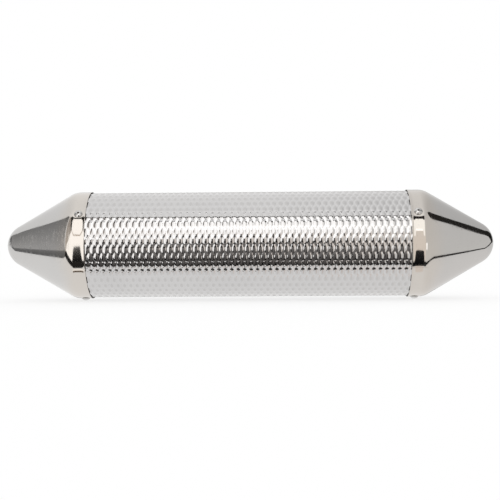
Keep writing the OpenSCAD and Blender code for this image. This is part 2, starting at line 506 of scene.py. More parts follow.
def fastener_ring_tree():
    tree, given, leave = open_tree(
        "fastener_ring", "GeometryNodeTree",
        {"Fastener": "NodeSocketObject", "Count": 3, "First angle": 0.0, "Place along": 0.1,
         "Seed": 3, "Finish": "NodeSocketMaterial"}, ("Mesh",), "NodeSocketGeometry")
    points = add_node(tree, "GeometryNodePoints", {
        "Count": given["Count"], "Position": combine(tree, given["Place along"], 0.0, 0.0)})
    which = Field(tree, add_node(tree, "GeometryNodeInputIndex").outputs[0])
    angle = given["First angle"] + which * math.tau / given["Count"]
    chance = Field(tree, dice(tree, which, given["Seed"], given["First angle"]).outputs["Value"])
    lean = add_node(tree, "FunctionNodeEulerToRotation", {
        0: combine(tree, QUARTER_TURN - angle, 0.0, 0.0)})
    spin = add_node(tree, "FunctionNodeEulerToRotation", {
        0: combine(tree, 0.0, 0.0, chance * math.tau)})
    turned = add_node(tree, "FunctionNodeRotateRotation", {
        "Rotation": lean.outputs[0], "Rotate By": spin.outputs[0]}, rotation_space="LOCAL")
    fastener = add_node(tree, "GeometryNodeObjectInfo", {"Object": given["Fastener"]})
    copies = add_node(tree, "GeometryNodeInstanceOnPoints", {
        "Points": points.outputs[0], "Instance": fastener.outputs["Geometry"],
        "Rotation": turned.outputs[0]})
    return close_mesh_tree(tree, leave, copies.outputs[0], given["Finish"])


def place_in_scene(name, data):
    piece = bpy.data.objects.new(name, data)
    bpy.context.scene.collection.objects.link(piece)
    return piece


def grow(name, tree, values):
    """Runs a Geometry Nodes tree and keeps its result as a plain mesh object."""
    piece = place_in_scene(name, bpy.data.meshes.new(name))
    modifier = piece.modifiers.new(name, "NODES")
    modifier.node_group = tree
    sockets = {item.name: item.identifier for item in tree.interface.items_tree
               if item.item_type == "SOCKET" and item.in_out == "INPUT"}
    for label, value in values.items():
        modifier[sockets[label]] = value
    depsgraph = bpy.context.evaluated_depsgraph_get()
    mesh = bpy.data.meshes.new_from_object(piece.evaluated_get(depsgraph), depsgraph=depsgraph)
    piece.modifiers.remove(modifier)
    mesh.name = name
    piece.data = mesh
    if not mesh.polygons:
        raise RuntimeError(f"{name} came out empty")
    return piece


# Turned shapes

def arc(centre_x, centre_r, radius, start, end, steps):
    """Points of an arc; the angle is 0 along the axis and a right angle straight outwards."""
    angles = [start + (end - start) * i / steps for i in range(steps + 1)]
    return [(centre_x + radius * math.cos(a), centre_r + radius * math.sin(a)) for a in angles]


def line(start, end, steps):
    """Points between two points, without the first and the last."""
    return [(start[0] + (end[0] - start[0]) * i / steps, start[1] + (end[1] - start[1]) * i / steps)
            for i in range(1, steps)]


def turn_round(name, profile, segments, point_at, closed=False):
    """Turns a profile of (along, radius) points round the axis. Ends on the axis become poles."""
    mesh = bmesh.new()
    rings = []
    for along, radius in profile:
        spread = segments if radius else 1
        rings.append([mesh.verts.new(point_at(along, radius, math.tau * j / segments))
                      for j in range(spread)])
    pairs = list(zip(rings[:-1], rings[1:]))
    if closed:
        pairs.append((rings[-1], rings[0]))
    for one, two in pairs:
        for j in range(segments):
            k = (j + 1) % segments
            if len(one) == 1:
                mesh.faces.new((one[0], two[k], two[j]))
            elif len(two) == 1:
                mesh.faces.new((one[j], one[k], two[0]))
            else:
                mesh.faces.new((one[j], one[k], two[k], two[j]))
    if mesh.calc_volume(signed=True) < 0:
        bmesh.ops.reverse_faces(mesh, faces=mesh.faces)
    for face in mesh.faces:
        face.smooth = True
    data = bpy.data.meshes.new(name)
    mesh.to_mesh(data)
    mesh.free()
    return place_in_scene(name, data)


# Shared shader effects

def object_point(tree):
    return add_node(tree, "ShaderNodeTexCoord").outputs["Object"]


def scaled_point(tree, x, y, z):
    return add_node(tree, "ShaderNodeVectorMath", {0: object_point(tree), 1: combine(tree, x, y, z)},
                    operation="MULTIPLY").outputs[0]


def stored_field(tree, name):
    """A number that the sheet's mesh stores under a name."""
    return Field(tree, add_node(tree, "ShaderNodeAttribute", attribute_type="GEOMETRY",
                                attribute_name=name).outputs["Fac"])


def noise_field(tree, scales, detail, roughness, offset):
    """Noise at one scale each way, moved by an offset so that no two layers are alike."""
    moved = add_node(tree, "ShaderNodeVectorMath", {
        0: scaled_point(tree, *scales), 1: (offset, offset * 1.7, offset * 0.6)}, operation="ADD")
    node = add_node(tree, "ShaderNodeTexNoise", {
        "Vector": moved.outputs[0], "Scale": 1.0, "Detail": detail, "Roughness": roughness})
    return Field(tree, node.outputs["Fac"])


def fine_scratches_group():
    """Thin crossing lines; gives where they are and their height."""
    tree, given, leave = open_tree(
        "fine_scratches", "ShaderNodeTree", {"Length": 60.0, "Fineness": 3500.0, "Cover": 0.3},
        ("Lines", "Height"))
    long, fine = given["Length"], given["Fineness"]
    level = 0.72 - given["Cover"] * 0.12
    layers = [noise_field(tree, scales, 1.0, 0.5, offset).span(level, level + 0.06)
              for offset, scales in ((3.1, (fine, long, long)),
                                     (11.7, (long * 2.0, fine * 0.7, long)),
                                     (23.9, (long, long * 2.0, fine * 0.8)))]
    lines = layers[0].math("MAXIMUM", layers[1] * 0.8).math("MAXIMUM", layers[2] * 0.8)
    feed(tree, leave.inputs["Lines"], lines)
    feed(tree, leave.inputs["Height"], lines * -1.0)
    return tree


def spin_marks_group():
    """Fine rings that the spinning tool leaves round the axis, and dull streaks along them."""
    tree, given, leave = open_tree(
        "spin_marks", "ShaderNodeTree", {"Rings": 2600.0, "Wander": 22.0}, ("Height", "Streaks"))
    rings, wander = given["Rings"], given["Wander"]
    fine = noise_field(tree, (rings, wander, wander), 2.0, 0.6, 5.3)
    broad = noise_field(tree, (rings * 0.14, wander * 0.5, wander * 0.5), 1.0, 0.5, 8.8)
    streaks = noise_field(tree, (rings * 0.36, wander * 7.0, wander * 7.0), 3.0, 0.65, 3.9)
    feed(tree, leave.inputs["Height"], fine * 0.5 + broad)
    feed(tree, leave.inputs["Streaks"], streaks.span(0.42, 0.66))
    return tree


def hand_marks_group():
    """Faint smears and specks left by hands and dust."""
    tree, given, leave = open_tree(
        "hand_marks", "ShaderNodeTree", {"Smear Size": 45.0, "Speck Size": 900.0},
        ("Smears", "Specks"))
    cloud = noise_field(tree, [given["Smear Size"]] * 3, 4.0, 0.62, 2.2)
    specks = noise_field(tree, [given["Speck Size"]] * 3, 2.0, 0.5, 6.1)
    feed(tree, leave.inputs["Smears"], cloud.span(0.42, 0.74))
    feed(tree, leave.inputs["Specks"], specks.span(0.66, 0.74) * cloud.span(0.35, 0.65))
    return tree


def valley_grime_group():
    """Dirt with painted shade low between the grains, and painted shade on the grains' crests, by the
    sheet's own relief.
    """
    tree, given, leave = open_tree(
        "valley_grime", "ShaderNodeTree", {"Reach": 0.35, "Patchiness": 0.5}, ("Grime", "Wear"))
    relief = stored_field(tree, "relief")
    patches = noise_field(tree, [160.0] * 3, 3.0, 0.6, 4.4)
    low = relief.span(0.02, given["Reach"], 1.0, 0.0)
    patchy = patches.span(0.3, 0.7, 1.0 - given["Patchiness"], 1.0)
    # Dirt with painted shade: the low sheet between the grains is given a darker colour
    feed(tree, leave.inputs["Grime"], low * patchy)
    # Painted shade: the grains' crests are given a darker colour
    feed(tree, leave.inputs["Wear"], relief.span(0.45, 0.95))
    return tree


def place_group(tree, maker, **values):
    """Places a shared group, which is built the first time that it is asked for."""
    name = maker.__name__.removesuffix("_group")
    node = add_node(tree, "ShaderNodeGroup", node_tree=bpy.data.node_groups.get(name) or maker())
    for label, value in values.items():
        feed(tree, node.inputs[label.replace("_", " ")], value)
    return {output.name: Field(tree, output) for output in node.outputs}


def hand_marks(tree, smear_size, speck_size):
    marks = place_group(tree, hand_marks_group, Smear_Size=smear_size, Speck_Size=speck_size)
    return marks["Smears"], marks["Specks"]


def fine_scratches(tree, length, fineness, cover):
    marks = place_group(tree, fine_scratches_group, Length=length, Fineness=fineness, Cover=cover)
    return marks["Lines"], marks["Height"]


def mix_colour(tree, factor, low, high):
    node = add_node(tree, "ShaderNodeMix", data_type="RGBA")
    feed(tree, node.inputs[0], factor)
    for place, value in ((6, low), (7, high)):
        is_socket = isinstance(value, bpy.types.NodeSocket)
        feed(tree, node.inputs[place], value if is_socket else (*value, 1.0))
    return node.outputs[2]


# The metals. Each maker takes the material's tree and the colours, and gives its colour, its
# roughness, the height of its skin and how deep that height goes.

def embossed_steel(tree, look):
    grime_and_shade = place_group(tree, valley_grime_group, Reach=0.30, Patchiness=0.55)
    smears, specks = hand_marks(tree, 38.0, 1100.0)
    scratches, scratch_height = fine_scratches(tree, 45.0, 3000.0, 0.35)
    heat = stored_field(tree, "heat")
    # Painted shade: the sheet is darkened towards the grime colour a little between the grains, with
    # dirt, and more on the crests
    dirty_and_shaded = mix_colour(tree, grime_and_shade["Grime"] * 0.04 + grime_and_shade["Wear"] * 0.22, look.sheet, look.grime_and_shade)
    smeared = mix_colour(tree, smears * 0.10 + specks * 0.35, dirty_and_shaded, look.sheet * 0.72)
    tinted = mix_colour(tree, heat * 0.45, smeared, look.heat)
    rough = (grime_and_shade["Grime"] * 0.05 + smears * 0.05 + scratches * 0.10 + heat * 0.10
             + look.sheet_roughness)
    skin = noise_field(tree, [1400.0] * 3, 3.0, 0.55, 9.9)
    return tinted, rough, skin * 0.6 + scratch_height * 0.5, 0.006 * MM


def spun_nickel(tree, look):
    rings = place_group(tree, spin_marks_group, Rings=2400.0, Wander=24.0)
    smears, specks = hand_marks(tree, 42.0, 800.0)
    scratches, scratch_height = fine_scratches(tree, 38.0, 2600.0, 0.25)
    place_along, depth, height = split_vector(tree, object_point(tree))
    outwards = abs(place_along)

    # The cones are rubbed dull in a belt just above their middle, the left one most
    upwards = height / (depth ** 2.0 + height ** 2.0) ** 0.5
    rubbed = (place_along.span(-0.02, 0.02, 1.0, 0.15) * outwards.span(0.103, 0.110)
              * upwards.span(-0.16, 0.06, 0.25, 1.0) * upwards.span(0.28, 0.56, 1.0, 0.06))
    clouds = noise_field(tree, [30.0] * 3, 2.0, 0.5, 1.4)
    warmth = (outwards + (clouds - 0.5) * 0.012).span(0.104, 0.118, 1.0, 0.0)
    plate = mix_colour(tree, warmth, look.nickel, look.warm_nickel)
    smeared = mix_colour(tree, smears * 0.07 + specks * 0.30, plate, look.nickel * 0.70)
    rough = (smears * 0.035 + scratches * 0.09 + rings["Height"] * 0.03
             + rings["Streaks"] * rubbed * 0.34 + look.cap_roughness)
    return smeared, rough, rings["Height"] * 0.45 + scratch_height * 0.6, 0.004 * MM


# Painted shade with some dirt: the caps' inner wall is made dark so that the gap under the rim looks
# shaded
def unplated_steel(tree, look):
    smears, specks = hand_marks(tree, 90.0, 900.0)
    stained = mix_colour(tree, smears * 0.6 + specks * 0.4, look.inner, (0.035, 0.025, 0.018))
    return stained, smears * 0.2 + 0.5, None, 0.0


def rivet_metal(tree, look):
    smears, specks = hand_marks(tree, 260.0, 2400.0)
    scratches, scratch_height = fine_scratches(tree, 260.0, 6000.0, 0.5)
    worn = mix_colour(tree, smears * 0.30 + specks * 0.5, look.rivet, look.rivet * 0.6)
    skin = noise_field(tree, [2600.0] * 3, 3.0, 0.55, 7.3)
    return worn, smears * 0.12 + scratches * 0.15 + 0.20, skin + scratch_height * 0.5, 0.012 * MM


def mandrel_metal(tree, look):
    smears, _ = hand_marks(tree, 700.0, 4000.0)
    rust = mix_colour(tree, smears * 0.5, look.mandrel, (0.17, 0.09, 0.045))
    grain = noise_field(tree, [5200.0] * 3, 3.0, 0.7, 3.7)
    return rust, smears * 0.25 + 0.42, grain, 0.05 * MM


def shot_metal(tree, look):
    smears, specks = hand_marks(tree, 320.0, 2200.0)
    scratches, scratch_height = fine_scratches(tree, 320.0, 5200.0, 0.6)
    worn = mix_colour(tree, smears * 0.35 + specks * 0.5, look.shot, look.shot * 0.55)
    return worn, smears * 0.12 + scratches * 0.18 + 0.16, scratch_height, 0.01 * MM


METALS = {"embossed_polished_steel": embossed_steel, "spun_nickel_plate": spun_nickel,
          "unplated_inner_steel": unplated_steel, "pressed_rivet_steel": rivet_metal,
          "broken_mandrel_steel": mandrel_metal, "rolled_shot_steel": shot_metal}


def metal(context, name):
    """A metal of the object, which is made the first time that it is asked for."""
    material = bpy.data.materials.get(name)
    if material:
        return material
    material = bpy.data.materials.new(name)
    material.use_nodes = True
    tree = material.node_tree
    shader = tree.nodes["Principled BSDF"]
    shader.inputs["Metallic"].default_value = 1.0
    colour, rough, height, distance = METALS[name](tree, context.scene.shaker_finishes)
    feed(tree, shader.inputs["Base Color"], colour)
    feed(tree, shader.inputs["Roughness"], rough)
    if height is not None:
        bump = add_node(tree, "ShaderNodeBump", {
            "Height": height, "Distance": distance, "Strength": 1.0})
        feed(tree, shader.inputs["Normal"], bump.outputs[0])
    return material


# One operator for each piece or group of like pieces

class SHAKER_OT_tube(Operator):
    """Makes the embossed tube with its lap seam and spot welds"""
    bl_idname = "shaker.tube"
    bl_label = "Embossed tube"

    def execute(self, context):
        values = group_values(context.scene.shaker_tube)
        finish = metal(context, "embossed_polished_steel")
        piece = grow("embossed_tube", embossed_tube_tree(values), {**values, "Finish": finish})
        use_sheet_normals(piece)
        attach(piece, SHELL)
        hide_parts("scraper_tube")
        return {"FINISHED"}


# Steps along a cap's wall, outside and inside, and how steeply its rim flares
TIP_STEPS, CONE_STEPS, SHOULDER_STEPS, BAND_STEPS, RIM_STEPS = 22, 42, 14, 7, 8
INNER_TIP_STEPS, INNER_CONE_STEPS, INNER_SHOULDER_STEPS = 7, 6, 5
FLARE_CURVE = 2.2

# Waves of the spun sheet, in waves to a metre, and the distance over which a rivet's dent fades
BROAD_WAVES, FINE_WAVES = 55.0, 130.0
DENT_REACH = 3.2 * MM


def cap_profile(sizes, shoulder):
    """The cap's whole wall: outside from the tip to the rim, then inside back to the tip."""
    cone, sheet = sizes.cone_angle, sizes.sheet
    band = sizes.band_radius - sizes.rim_flare
    tip = sizes.tip_radius
    tip_x = sizes.tip_place - tip
    apex_x = tip_x + tip / math.sin(cone)
    corner_x = apex_x - band / math.tan(cone)
    shoulder_x = corner_x - shoulder * math.tan(cone / 2)
    side = QUARTER_TURN - cone
    rim_x, rim_end = sizes.rim_place, sizes.rim_place + sizes.rim_width

    outside = arc(tip_x, 0.0, tip, 0.0, side, TIP_STEPS)
    outside[0] = (sizes.tip_place, 0.0)
    turn = arc(shoulder_x, band - shoulder, shoulder, side, QUARTER_TURN, SHOULDER_STEPS)
    outside += line(outside[-1], turn[0], CONE_STEPS) + turn
    outside += line(turn[-1], (rim_end, band), BAND_STEPS)
    for i in range(RIM_STEPS + 1):
        share = i / RIM_STEPS
        outside.append((rim_end - share * (sizes.rim_width - 0.12 * MM),
                        band + sizes.rim_flare * share ** FLARE_CURVE))
    edge_r = outside[-1][1]
    outside += [(rim_x + 0.03 * MM, edge_r - 0.04 * MM), (rim_x, edge_r - 0.12 * MM)]
    inside = [(rim_x, edge_r - sheet + 0.16 * MM), (rim_x + 0.10 * MM, edge_r - sheet)]
    inside += [(rim_end, band - sheet), (shoulder_x, band - sheet)]
    inside += arc(shoulder_x, band - shoulder, shoulder - sheet, QUARTER_TURN, side,
                  INNER_SHOULDER_STEPS)[1:]
    inner_tip = arc(tip_x, 0.0, tip - sheet, side, 0.0, INNER_TIP_STEPS)
    inside += line(inside[-1], inner_tip[0], INNER_CONE_STEPS) + inner_tip
    inside[-1] = (tip_x + tip - sheet, 0.0)
    return outside + inside, len(outside)


class SHAKER_OT_caps(Operator):
    """Makes the two spun cone caps with their flared rims and the dents of their rivets"""
    bl_idname = "shaker.caps"
    bl_label = "Cone caps"

    def execute(self, context):
        sizes, rivets = context.scene.shaker_caps, context.scene.shaker_rivets
        for side_name, side in SIDES.items():
            profile, outside = cap_profile(sizes, getattr(sizes, f"{side_name}_shoulder"))

            def wall_point(along, radius, angle):
                outward = Vector((0.0, -math.cos(angle), math.sin(angle)))
                near = Vector((along, 0.0, 0.0)) + outward * radius
                waves = 0.65 * noise.noise(near * BROAD_WAVES + Vector((side * 7.3, 1.9, 4.1)))
                waves += 0.35 * noise.noise(near * FINE_WAVES + Vector((2.2, side * 3.1, 8.4)))
                inward = sizes.wobble * (0.5 + 0.5 * waves)
                for degrees in RIVET_PLACES.values():
                    gap = (angle - math.radians(degrees) + math.pi) % math.tau - math.pi
                    reach = math.hypot(gap * radius, along - rivets.place) / DENT_REACH
                    inward += sizes.dent * math.exp(-reach * reach)
                kept = max(radius - inward, 0.0) if radius > 0.0 else 0.0
                return Vector((side * along, 0.0, 0.0)) + outward * kept

            piece = turn_round(f"{side_name}_cone_cap", profile, CAP_SEGMENTS, wall_point)
            # The second finish is the inner wall's painted shade, with some dirt
            for name in ("spun_nickel_plate", "unplated_inner_steel"):
                piece.data.materials.append(metal(context, name))
            first_inner = CAP_SEGMENTS * (outside - 1)
            for face in piece.data.polygons:
                face.material_index = 1 if face.index >= first_inner else 0
            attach(piece, SHELL)
            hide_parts(f"{side_name}_cap")
        return {"FINISHED"}


# Steps over a rivet's domed head; and a mandrel's torn end: how deep it is torn, how high and how
# close its teeth are, and how far they may stand up
HEAD_STEPS = 12
TORN_DEPTH, TOOTH_HEIGHT, TEETH, TOOTH_LIMIT = 0.3 * MM, 0.09 * MM, 2600.0, 0.06 * MM


def along_z(along, radius, angle):
    return Vector((radius * math.cos(angle), radius * math.sin(angle), along))


def rivet_profile(sizes):
    """A set blind rivet: domed head with a worn lip at its bore, shank and swollen blind end."""
    seat, top = sizes.seat_radius, sizes.seat_radius + sizes.head_height
    head, bore, shank = sizes.head_width / 2, sizes.bore / 2, sizes.shank_width / 2
    dome = (head ** 2 + sizes.head_height ** 2) / (2 * sizes.head_height)
    start = math.asin((bore + 0.22 * MM) / dome)
    end = math.asin(head / dome) * 0.985
    blind_top = seat - sizes.blind_top
    blind_end = blind_top - sizes.blind_length
    blind = sizes.blind_width / 2
    lip = [(top - 0.62 * MM, bore), (top - 0.20 * MM, bore), (top - 0.13 * MM, bore + 0.05 * MM),
           (top - 0.10 * MM, bore + 0.13 * MM)]
    underside = [(seat - 0.02 * MM, head - 0.02 * MM), (seat - 0.12 * MM, head - 0.10 * MM),
                 (seat - 0.16 * MM, head - 0.5 * MM), (seat - 0.16 * MM, shank + 0.3 * MM),
                 (seat - 0.2 * MM, shank), (blind_top + 0.1 * MM, shank)]
    blind_side = [(blind_top - 0.2 * MM, blind * 0.86), (blind_top - 0.8 * MM, blind),
                  (blind_top - 1.8 * MM, blind * 0.97), (blind_end + 0.3 * MM, blind * 0.82),
                  (blind_end, blind * 0.68), (blind_end, bore), (blind_end + 1.6 * MM, bore)]
    return lip + arc(top - dome, 0.0, dome, start, end, HEAD_STEPS) + underside + blind_side


def mandrel_profile(sizes):
    """The mandrel's stub: its torn end with a small burr, its shank and its head."""
    seat = sizes.seat_radius
    top = seat + sizes.head_height - sizes.mandrel_recess
    blind_end = seat - sizes.blind_top - sizes.blind_length
    pin, knob = sizes.mandrel_width / 2, sizes.mandrel_head_width / 2
    return [(top - 0.10 * MM, 0.0), (top - 0.06 * MM, pin * 0.35), (top, pin * 0.62),
            (top - 0.04 * MM, pin * 0.80), (top - 0.22 * MM, pin * 0.93), (top - 0.5 * MM, pin),
            (blind_end + 0.05 * MM, pin), (blind_end - 0.02 * MM, knob * 0.8),
            (blind_end - 0.25 * MM, knob), (blind_end - 0.85 * MM, knob),
            (blind_end - 1.1 * MM, knob * 0.8), (blind_end - sizes.mandrel_head_length, knob * 0.45),
            (blind_end - sizes.mandrel_head_length, 0.0)]


def set_fasteners(context, pattern, ending, node_ending, finish):
    """Puts one fastener of the pattern at each rivet place of both caps, then drops the pattern."""
    place, material = context.scene.shaker_rivets.place, metal(context, finish)
    tree = bpy.data.node_groups.get("fastener_ring") or fastener_ring_tree()
    for side_name, side in SIDES.items():
        for place_name, degrees in RIVET_PLACES.items():
            piece = grow(f"{side_name}_{place_name}_{ending}", tree, {
                "Fastener": pattern, "Count": 1, "First angle": math.radians(degrees),
                "Place along": side * place, "Seed": 3 + side, "Finish": material})
            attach(piece, SHELL)
            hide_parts(f"{side_name}_{place_name}_{node_ending}")
    data = pattern.data
    bpy.data.objects.remove(pattern)
    bpy.data.meshes.remove(data)


class SHAKER_OT_rivets(Operator):
    """Sets the six blind rivets"""
    bl_idname = "shaker.rivets"
    bl_label = "Blind rivets"

    def execute(self, context):
        profile = rivet_profile(context.scene.shaker_rivets)
        pattern = turn_round("rivet_pattern", profile, RIVET_SEGMENTS, along_z, closed=True)
        set_fasteners(context, pattern, "blind_rivet", "rivet", "pressed_rivet_steel")
        return {"FINISHED"}


class SHAKER_OT_mandrels(Operator):
    """Sets the six mandrel stubs in the rivets"""
    bl_idname = "shaker.mandrels"
    bl_label = "Mandrel stubs"

    def execute(self, context):
        profile = mandrel_profile(context.scene.shaker_rivets)
        top = profile[2][0]

        def torn_point(along, radius, angle):
            point = along_z(along, radius, angle)
            if along > top - TORN_DEPTH:
                point.z += TOOTH_HEIGHT * noise.noise(point * TEETH)
                point.z = min(point.z, top + TOOTH_LIMIT)
            return point

        pattern = turn_round("mandrel_pattern", profile, MANDREL_SEGMENTS, torn_point)
        set_fasteners(context, pattern, "mandrel_stub", "mandrel", "broken_mandrel_steel")
        return {"FINISHED"}


class SHAKER_OT_shot(Operator):
    """Gives the rows of steel shot their finish"""
    bl_idname = "shaker.shot"
    bl_label = "Steel shot"

    def execute(self, context):
        finish = metal(context, "rolled_shot_steel")
        for name in SHOT_ROWS:
            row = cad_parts[name]
            if not row.data.materials:
                row.data.materials.append(finish)
            for slot in row.material_slots:
                slot.material = finish
        return {"FINISHED"}


# The studio: a light tent, and cards in it that only the metal sees. A card has the place on the
# tube's axis that it is seen from, its colour, or those of its foot and its top, and its outline by
# azimuth and elevation, in degrees. Later cards hang in front of earlier ones.

LEFT_END, MIDDLE, RIGHT_END = -0.103, 0.0, 0.102

# Mesh step of a card in degrees, and the gaps from card to card and from the tent to the first one
CARD_STEP = 4.0
CARD_GAP = 0.003
TENT_GAP = 0.02
CAMERA_SHIFT = (0.0017, -0.0116)

CARDS = {
    "back_wall": (MIDDLE, ((0.26, 0.255, 0.25), (0.5, 0.49, 0.48)), (
        (158, -16), (202, -16), (202, 12), (194, 20), (166, 20), (158, 12))),
    "left_wall": (LEFT_END, ((0.53, 0.52, 0.515), (0.165, 0.165, 0.165)), (
        (-57, -14), (-60, 20), (-58, 54), (-70, 51), (-82, 43), (-94, 35), (-98, 35),
        (-102, 35), (-118, 25), (-130, 13), (-117, 7), (-103, -0.5), (-83, -13), (-78, -18.5),
        (-61, -18.5))),
    "left_warm_wall": (LEFT_END, ((0.62, 0.56, 0.5), (0.38, 0.345, 0.32)), (
        (-48, -10), (-20, 20), (-20, 31), (-30, 40), (-38, 56), (-50, 57.5), (-54, 52),
        (-54, 40), (-53, 20), (-55, 0), (-56, -12))),
    "left_foot": (LEFT_END, ((0.13, 0.13, 0.13), (0.37, 0.367, 0.364)), (
        (-117, 7.5), (-103, -0.5), (-83, -13), (-78, -18.6), (-61, -18.7), (-55, -12),
        (-58, -6), (-72, -8), (-79, -6.5), (-95, 3), (-112, 11))),
    "left_tip_edge": (LEFT_END, ((0.12, 0.12, 0.12), (0.17, 0.17, 0.17)), (
        (-131, 14), (-117, 6.9), (-103, -0.5), (-98, 0), (-95, 3), (-99, 9), (-107, 16),
        (-120, 22), (-127, 18))),
    "right_wall": (RIGHT_END, ((0.92, 0.84, 0.77), (0.93, 0.86, 0.8)), (
        (-4, -20), (-4, 30), (10, 54), (17, 53), (20, 48), (19, 20), (20, -38), (16, -38),
        (8, -24))),
    "right_cone_wall": (RIGHT_END, ((0.76, 0.745, 0.72), (0.7, 0.685, 0.675)), (
        (19, -40), (18.5, 20), (19.5, 50), (26, 56), (40, 57), (56, 54), (66, 42), (83, 31),
        (98, 22), (112, 12), (123, 5), (106, -3), (90, -11.5), (76, -20), (66, -23), (50, -31),
        (28, -42))),
    "upper_softbox": (MIDDLE, ((1.72, 1.7, 1.69),), (
        (-14, 15.5), (-14, 58), (8, 58.2), (18, 57), (26, 54), (24, 44), (20, 34), (17, 25),
        (9, 22.5), (6, 18), (5.7, 15.5))),
    "left_softbox": (LEFT_END, ((1.44, 1.41, 1.38),), (
        (-48, -10), (-50.5, -8.5), (-47, -2), (-37, 9.5), (-28.5, 21), (-21.5, 31), (-24, 42),
        (-26, 52), (-22, 57.6), (-14, 58.2), (-4, 58.2), (-4, 14), (-6, 4), (-10.6, -5),
        (-13, -16), (-19, -30.5), (-23, -33.3), (-29.5, -26.7), (-40, -18.6))),
    "right_strip": (RIGHT_END, ((1.37, 1.35, 1.31),), (
        (1, 30), (8.2, 29.6), (8.9, 25), (9.2, 20), (9.6, 16), (11, 14.5), (15, 14), (17, 30),
        (22, 48), (12, 53.5), (1, 54))),
    "right_window": (RIGHT_END, ((1.6, 1.6, 1.6),), (
        (20.5, -13.5), (27, -13.5), (27, 0), (20.5, 0))),
    "softbox_seam": (LEFT_END, ((0.7, 0.62, 0.55),), (
        (-9, 17.6), (-9, 20.8), (-16, 27.6), (-20.5, 31), (-20.5, 28), (-16, 24.4))),
    "right_low_wall": (RIGHT_END, ((0.85, 0.775, 0.73),), (
        (-4, -46), (14, -46), (16, -60), (10, -72), (-4, -72))),
    "left_low_gap": (LEFT_END, ((0.009, 0.009, 0.01), (0.024, 0.023, 0.022)), (
        (-61, -16), (-54, -10), (-49.5, -9), (-40, -18.6), (-29.5, -26.7), (-21, -32),
        (-12, -32), (-8, -47), (-18, -47.8), (-34, -39.5), (-51, -26.6))),
    "middle_shade": (MIDDLE, ((0.018, 0.017, 0.017), (0.04, 0.036, 0.034)), (
        (-7, 15.5), (-7.5, 6), (-9.5, 4), (-16, 3.5), (-18, -5), (-20, -15), (-26, -28),
        (-29, -31), (-38, -36), (-25, -45), (-18, -47), (-15.8, -50.5), (12.6, -51),
        (14.5, -47.4), (18, -47), (33, -43), (28, -39.5), (23, -36), (19.8, -30), (17.4, -22),
        (15.8, -16.5), (13.4, -12), (11, -5), (9, 0), (6.2, 3.5), (5.2, 7), (5, 15.5))),
    "middle_half_shade": (MIDDLE, ((0.075, 0.068, 0.065), (0.26, 0.245, 0.235)), (
        (-16, -4), (5, -4), (9, -10), (12, -18), (14, -30), (15, -45), (-21, -45), (-19, -29),
        (-18, -16))),
    "left_shade": (LEFT_END, ((0.006, 0.006, 0.007), (0.075, 0.073, 0.07)), (
        (-9.6, -5.5), (-10.4, -5.5), (-12.6, -16), (-18, -30), (-19, -33), (-4, -33), (-4, -16),
        (-9.6, -15))),
    "right_low_gap": (RIGHT_END, ((0.004, 0.004, 0.004), (0.008, 0.007, 0.006)), (
        (22, -37), (27, -39.5), (50, -29.2), (68, -21.4), (75, -19.2), (90, -9.2), (106, -1.6),
        (120, 5), (120, 0), (106, -6), (90, -14), (77, -22.4), (69, -25), (50, -33.4),
        (27, -47.6), (12, -47.6))),
    "right_shade": (RIGHT_END, ((0.005, 0.005, 0.005), (0.02, 0.02, 0.022)), (
        (2, -16.5), (9.3, -16.5), (10.5, -22), (12.5, -30), (15, -36), (20, -39.5), (26, -42),
        (27, -48.4), (12, -48.6), (2, -48))),
    "top_gap": (MIDDLE, ((0.02, 0.018, 0.016),), (
        (-20, 57), (-10, 57), (14, 57), (16, 57), (16, 59), (14, 61), (-10, 61), (-20, 61))),
    "left_column_gap": (LEFT_END, ((0.02, 0.018, 0.016),), (
        (-21, 29.5), (-24, 30), (-31, 38), (-36, 48), (-45, 56), (-38, 61), (-20, 61),
        (-8, 60.5), (-8, 58.3), (-21, 57.6), (-26, 52), (-24, 42))),
    "right_corner_gap": (RIGHT_END, ((0.015, 0.014, 0.013),), (
        (2, 51.8), (13, 51.8), (13.6, 48.8), (21, 48.6), (23, 51), (26.5, 58), (20, 58.8),
        (8, 59.2), (2, 59.4))),
    "right_cone_strip": (RIGHT_END, ((0.012, 0.011, 0.01), (0.03, 0.028, 0.026)), (
        (61, 57.5), (77, 53), (88, 45), (96, 38.8), (101, 38), (112, 32), (123, 25), (132, 18),
        (141, 11), (137, 1), (122, -1), (113, 4.2), (100, 16.4), (89, 22), (80.5, 26),
        (81.5, 29.2), (82.6, 31), (83.6, 32.8), (81.5, 34), (67, 42), (60, 51.5))),
    "left_low_edge": (LEFT_END, ((0.13, 0.095, 0.07), (0.16, 0.12, 0.09)), (
        (-30, -53.4), (-30, -57), (-6, -57), (-6, -53.4))),
    "left_low_shine": (LEFT_END, ((1.25, 1.19, 1.12),), (
        (-30, -50), (-30, -52.8), (-6, -52.8), (-6, -50))),
}


def emission_material(name, colour):
    material = bpy.data.materials.new(name)
    material.use_nodes = True
    tree = material.node_tree
    tree.nodes.clear()
    shine = add_node(tree, "ShaderNodeEmission", {"Color": colour(tree)})
    add_node(tree, "ShaderNodeOutputMaterial", {"Surface": shine.outputs[0]})
    return material


def rising_colour(low, high, low_z, high_z):
    """A colour that passes from low at the bottom to high at the top."""
    def colour(tree):
        _, _, height = split_vector(tree, object_point(tree))
        return mix_colour(tree, height.span(low_z, high_z, smooth=False), low, high)
    return colour


